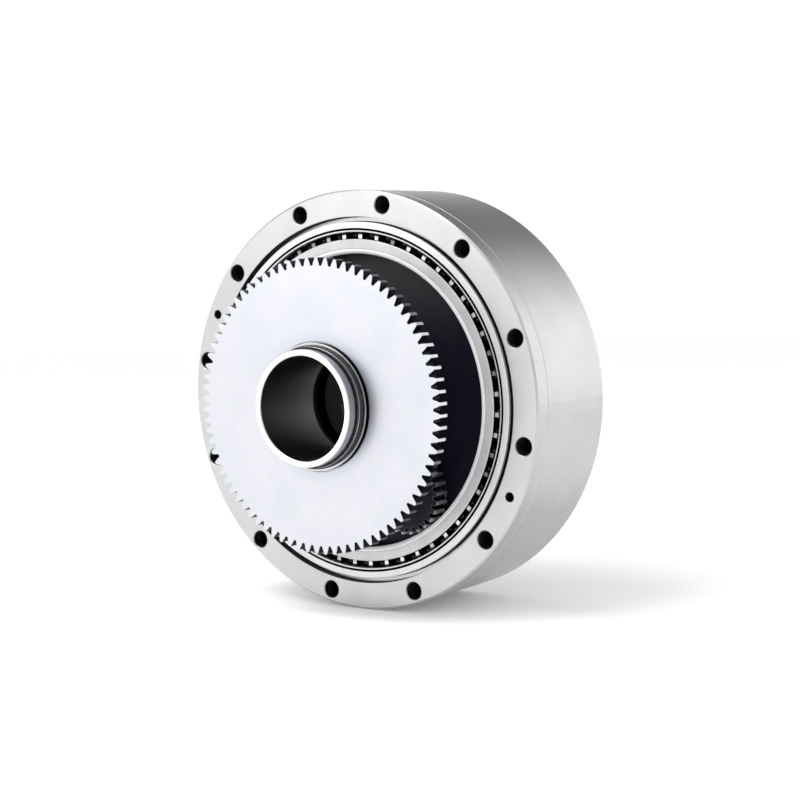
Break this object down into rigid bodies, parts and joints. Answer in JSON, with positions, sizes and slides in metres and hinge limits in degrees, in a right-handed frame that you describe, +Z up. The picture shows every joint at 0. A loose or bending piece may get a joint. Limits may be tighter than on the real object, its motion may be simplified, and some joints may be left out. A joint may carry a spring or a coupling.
{
  "type": "cycloidal reducer",
  "caption": "Hollow-shaft cycloidal reducer for robot joints: round steel case with bolt circle, large centre gear on a hollow hub, crankshafts, cycloid discs and a bolted output flange.",
  "frame": {"origin": "centre of the case's front face, which is the centre of its bolt circle", "axes": "-Y along the turning axis out of the front (input) face, +Z up, +X to the right seen from the front"},
  "size_m": [0.18, 0.097, 0.18],
  "materials": {
    "case_steel": "satin",
    "flange_steel": "satin",
    "gear_steel": "ground",
    "bearing_steel": "polished",
    "ball_steel": "polished",
    "spring_steel": "satin",
    "black_bolt_steel": "black oxide",
    "cage_steel": "pressed steel",
    "seal_rubber": "matte"
  },
  "bodies": {
    "case": {"case": "case_steel", "ring_pins": "bearing_steel", "front_bearing_outer_ring": "bearing_steel", "rear_bearing_outer_ring": "bearing_steel", "oil_seal": "seal_rubber", "seal_garter_spring": "spring_steel"},
    "carrier": {"hold_flange": "flange_steel", "output_flange": "flange_steel", "front_bearing_inner_ring": "bearing_steel", "rear_bearing_inner_ring": "bearing_steel", "carrier_bolts": "black_bolt_steel", "carrier_dowels": "bearing_steel", "front_cup_1": "bearing_steel", "rear_cup_1": "bearing_steel", "front_cup_2": "bearing_steel", "rear_cup_2": "bearing_steel"},
    "input": {"centre_gear": "gear_steel", "sun_shaft": "gear_steel", "hub_snap_ring": "spring_steel", "hub_o_ring": "seal_rubber"},
    "front_balls": {"front_bearing_balls": "ball_steel", "front_bearing_cage": "cage_steel"},
    "rear_balls": {"rear_bearing_balls": "ball_steel", "rear_bearing_cage": "cage_steel"},
    "centre_bearing": {"centre_needles": "ball_steel", "centre_needle_cage": "cage_steel"},
    "disc_front": {"cycloid_disc_front": "gear_steel"},
    "disc_rear": {"cycloid_disc_rear": "gear_steel"},
    "crank_1": {"crankshaft_1": "gear_steel", "spur_gear_1": "gear_steel", "gear_snap_ring_1": "spring_steel", "front_cone_1": "bearing_steel", "rear_cone_1": "bearing_steel"},
    "front_taper_1": {"front_rollers_1": "ball_steel", "front_roller_cage_1": "cage_steel"},
    "front_needle_set_1": {"front_disc_needles_1": "ball_steel", "front_disc_cage_1": "cage_steel"},
    "rear_taper_1": {"rear_rollers_1": "ball_steel", "rear_roller_cage_1": "cage_steel"},
    "rear_needle_set_1": {"rear_disc_needles_1": "ball_steel", "rear_disc_cage_1": "cage_steel"},
    "crank_2": {"crankshaft_2": "gear_steel", "spur_gear_2": "gear_steel", "gear_snap_ring_2": "spring_steel", "front_cone_2": "bearing_steel", "rear_cone_2": "bearing_steel"},
    "front_taper_2": {"front_rollers_2": "ball_steel", "front_roller_cage_2": "cage_steel"},
    "front_needle_set_2": {"front_disc_needles_2": "ball_steel", "front_disc_cage_2": "cage_steel"},
    "rear_taper_2": {"rear_rollers_2": "ball_steel", "rear_roller_cage_2": "cage_steel"},
    "rear_needle_set_2": {"rear_disc_needles_2": "ball_steel", "rear_disc_cage_2": "cage_steel"}
  },
  "joints": [
    {"name": "input_spin", "type": "hinge", "parent": "carrier", "child": "input", "pos_m": [0, 0, 0], "axis": [0, 1, 0], "continuous": true},
    {"name": "output_spin", "type": "hinge", "parent": "case", "child": "carrier", "pos_m": [0, 0, 0], "axis": [0, 1, 0], "continuous": true},
    {"name": "front_balls_spin", "type": "hinge", "parent": "case", "child": "front_balls", "pos_m": [0, 0, 0], "axis": [0, 1, 0], "continuous": true},
    {"name": "rear_balls_spin", "type": "hinge", "parent": "case", "child": "rear_balls", "pos_m": [0, 0, 0], "axis": [0, 1, 0], "continuous": true},
    {"name": "centre_bearing_spin", "type": "hinge", "parent": "carrier", "child": "centre_bearing", "pos_m": [0, 0, 0], "axis": [0, 1, 0], "continuous": true},
    {"name": "crank_1_spin", "type": "hinge", "parent": "carrier", "child": "crank_1", "pos_m": [-0.0225, 0, 0.03897], "axis": [0, 1, 0], "continuous": true},
    {"name": "front_taper_1_spin", "type": "hinge", "parent": "carrier", "child": "front_taper_1", "pos_m": [-0.0225, 0, 0.03897], "axis": [0, 1, 0], "continuous": true},
    {"name": "front_needle_set_1_spin", "type": "hinge", "parent": "crank_1", "child": "front_needle_set_1", "pos_m": [-0.0225, 0, 0.04012], "axis": [0, 1, 0], "continuous": true},
    {"name": "rear_taper_1_spin", "type": "hinge", "parent": "carrier", "child": "rear_taper_1", "pos_m": [-0.0225, 0, 0.03897], "axis": [0, 1, 0], "continuous": true},
    {"name": "rear_needle_set_1_spin", "type": "hinge", "parent": "crank_1", "child": "rear_needle_set_1", "pos_m": [-0.0225, 0, 0.03782], "axis": [0, 1, 0], "continuous": true},
    {"name": "crank_2_spin", "type": "hinge", "parent": "carrier", "child": "crank_2", "pos_m": [0.0225, 0, -0.03897], "axis": [0, 1, 0], "continuous": true},
    {"name": "front_taper_2_spin", "type": "hinge", "parent": "carrier", "child": "front_taper_2", "pos_m": [0.0225, 0, -0.03897], "axis": [0, 1, 0], "continuous": true},
    {"name": "front_needle_set_2_spin", "type": "hinge", "parent": "crank_2", "child": "front_needle_set_2", "pos_m": [0.0225, 0, -0.03782], "axis": [0, 1, 0], "continuous": true},
    {"name": "rear_taper_2_spin", "type": "hinge", "parent": "carrier", "child": "rear_taper_2", "pos_m": [0.0225, 0, -0.03897], "axis": [0, 1, 0], "continuous": true},
    {"name": "rear_needle_set_2_spin", "type": "hinge", "parent": "crank_2", "child": "rear_needle_set_2", "pos_m": [0.0225, 0, -0.04012], "axis": [0, 1, 0], "continuous": true},
    {"name": "disc_front_spin", "type": "hinge", "parent": "crank_1", "child": "disc_front", "pos_m": [-0.0225, 0, 0.04012], "axis": [0, 1, 0], "continuous": true},
    {"name": "disc_rear_spin", "type": "hinge", "parent": "crank_1", "child": "disc_rear", "pos_m": [-0.0225, 0, 0.03782], "axis": [0, 1, 0], "continuous": true}
  ],
  "couplings": [
    {"joint": "output_spin", "follows": "input_spin", "ratio": 0.044231},
    {"joint": "front_balls_spin", "follows": "input_spin", "ratio": 0.021121},
    {"joint": "rear_balls_spin", "follows": "input_spin", "ratio": 0.021121},
    {"joint": "centre_bearing_spin", "follows": "input_spin", "ratio": 0.48141},
    {"joint": "crank_1_spin", "follows": "input_spin", "ratio": -1.7692},
    {"joint": "front_taper_1_spin", "follows": "input_spin", "ratio": -0.74192},
    {"joint": "front_needle_set_1_spin", "follows": "input_spin", "ratio": 0.98369},
    {"joint": "rear_taper_1_spin", "follows": "input_spin", "ratio": -0.74192},
    {"joint": "rear_needle_set_1_spin", "follows": "input_spin", "ratio": 0.98369},
    {"joint": "crank_2_spin", "follows": "input_spin", "ratio": -1.7692},
    {"joint": "front_taper_2_spin", "follows": "input_spin", "ratio": -0.74192},
    {"joint": "front_needle_set_2_spin", "follows": "input_spin", "ratio": 0.98369},
    {"joint": "rear_taper_2_spin", "follows": "input_spin", "ratio": -0.74192},
    {"joint": "rear_needle_set_2_spin", "follows": "input_spin", "ratio": 0.98369},
    {"joint": "disc_front_spin", "follows": "input_spin", "ratio": 1.7692},
    {"joint": "disc_rear_spin", "follows": "input_spin", "ratio": 1.7692}
  ]
}
